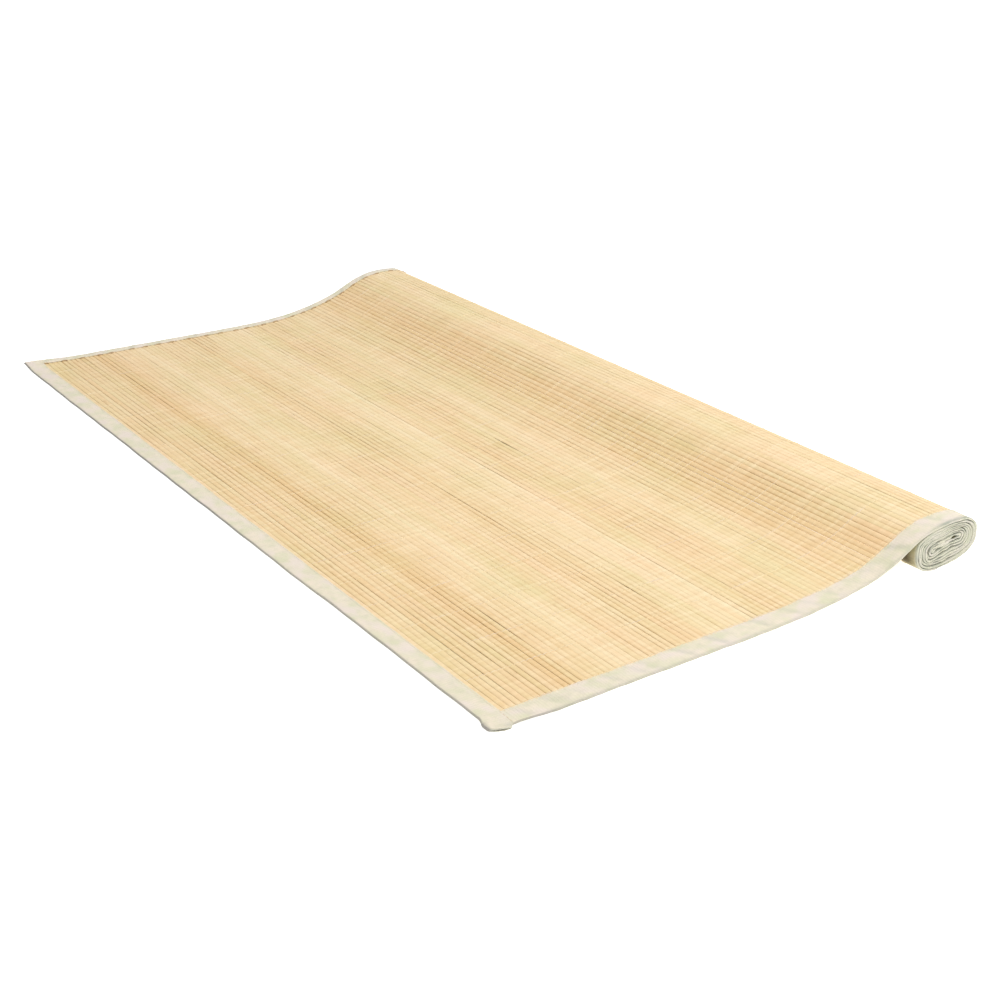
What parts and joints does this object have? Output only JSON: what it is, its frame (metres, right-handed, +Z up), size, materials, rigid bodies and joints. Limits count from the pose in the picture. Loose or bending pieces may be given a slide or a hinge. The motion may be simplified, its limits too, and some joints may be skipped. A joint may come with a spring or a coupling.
{
  "type": "bamboo mat",
  "caption": "Slatted bamboo floor mat with cotton-bound edges, lying flat at one end and wound into a flattened roll at the other.",
  "frame": {"origin": "middle of the mat's footprint, on the floor it lies on", "axes": "+X from the flat end towards the roll, +Y along the slats towards the far edge, +Z up"},
  "size_m": [0.5406, 1.0026, 0.0463],
  "materials": {
    "bamboo": "pale straw bamboo, lightly varnished, satin",
    "cotton_tape": "off-white cotton tape, matte"
  },
  "bodies": {
    "root": {"slat_panel": "bamboo", "binding_near": "cotton_tape", "binding_far": "cotton_tape", "binding_end": "cotton_tape"}
  },
  "joints": []
}
